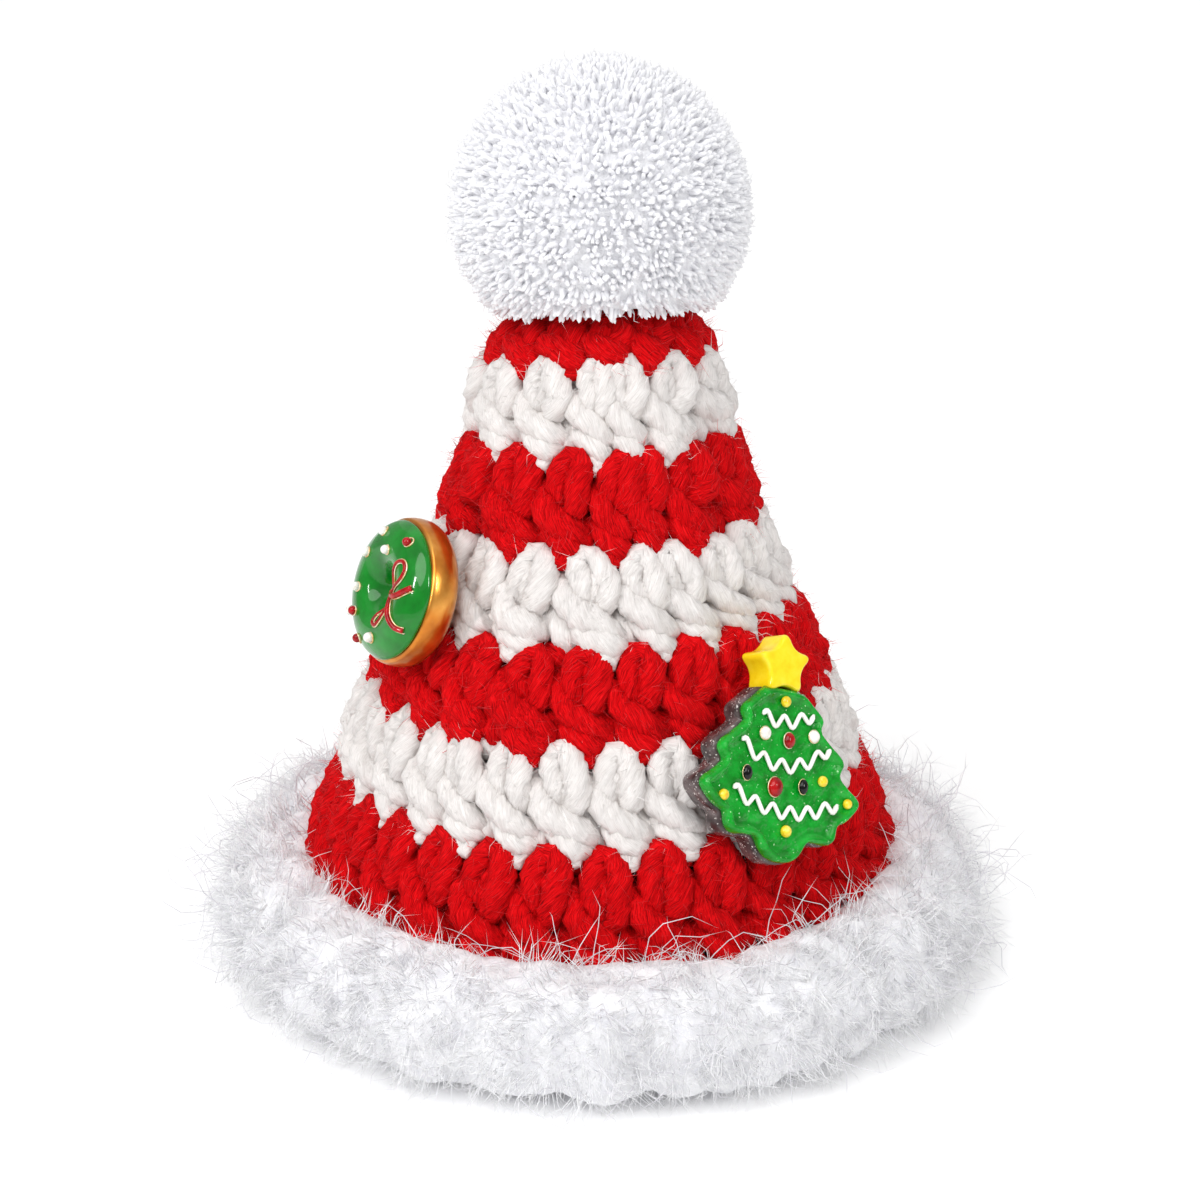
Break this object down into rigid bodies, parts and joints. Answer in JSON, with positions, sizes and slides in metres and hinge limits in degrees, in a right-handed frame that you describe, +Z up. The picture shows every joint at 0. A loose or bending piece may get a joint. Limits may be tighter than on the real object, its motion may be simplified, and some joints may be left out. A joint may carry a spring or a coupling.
{
  "type": "crocheted cone hat with pompom and charms",
  "caption": "Small crocheted cone hat in red and white stripes, with a yarn pompom on top, a fluffy fur-yarn brim, and glossy doughnut and tree charms glued to the side.",
  "frame": {"origin": "the middle of the brim's underside, on the surface that the hat stands on", "axes": "+Z up through the pompom, -Y the front seen in the picture, +X to the right of that view"},
  "size_m": [0.0896, 0.0896, 0.1006],
  "materials": {
    "red_yarn": "thick plied acrylic yarn, matt with short fuzz",
    "white_yarn": "thick plied acrylic yarn, matt with short fuzz",
    "pompom_yarn": "cut yarn ends, matt",
    "fur_yarn": "fluffy lash yarn with thin shiny hairs",
    "gold_resin": "satin gold paint",
    "green_icing": "glossy cast resin",
    "red_enamel": "glossy paint",
    "white_enamel": "glossy paint",
    "yellow_enamel": "glossy paint",
    "black_enamel": "glossy paint",
    "grey_resin": "clear cast resin with fine glitter",
    "green_resin": "glossy cast resin with fine glitter",
    "yellow_resin": "glossy cast resin with fine glitter"
  },
  "bodies": {
    "root": {"crown_round_1": "red_yarn", "crown_round_2": "white_yarn", "crown_round_3": "red_yarn", "crown_round_4": "white_yarn", "crown_round_5": "red_yarn", "crown_round_6": "white_yarn", "crown_round_7": "red_yarn", "brim": "fur_yarn", "pompom": "pompom_yarn", "donut_base": "gold_resin", "donut_icing": "green_icing", "donut_bow": "red_enamel", "donut_sprinkle_1": "white_enamel", "donut_sprinkle_2": "red_enamel", "donut_sprinkle_3": "white_enamel", "donut_sprinkle_4": "white_enamel", "donut_sprinkle_5": "white_enamel", "donut_sprinkle_6": "red_enamel", "donut_sprinkle_7": "white_enamel", "donut_sprinkle_8": "white_enamel", "donut_sprinkle_9": "red_enamel", "tree_base": "grey_resin", "tree_face": "green_resin", "tree_star": "yellow_resin", "tree_garland_1": "white_enamel", "tree_garland_2": "white_enamel", "tree_garland_3": "white_enamel", "tree_bead_1": "yellow_enamel", "tree_bead_2": "yellow_enamel", "tree_bead_3": "yellow_enamel", "tree_bead_4": "yellow_enamel", "tree_bead_5": "yellow_enamel", "tree_bead_6": "white_enamel", "tree_bead_7": "white_enamel", "tree_bead_8": "red_enamel", "tree_bead_9": "red_enamel", "tree_bead_10": "black_enamel", "tree_bead_11": "black_enamel"}
  },
  "joints": []
}
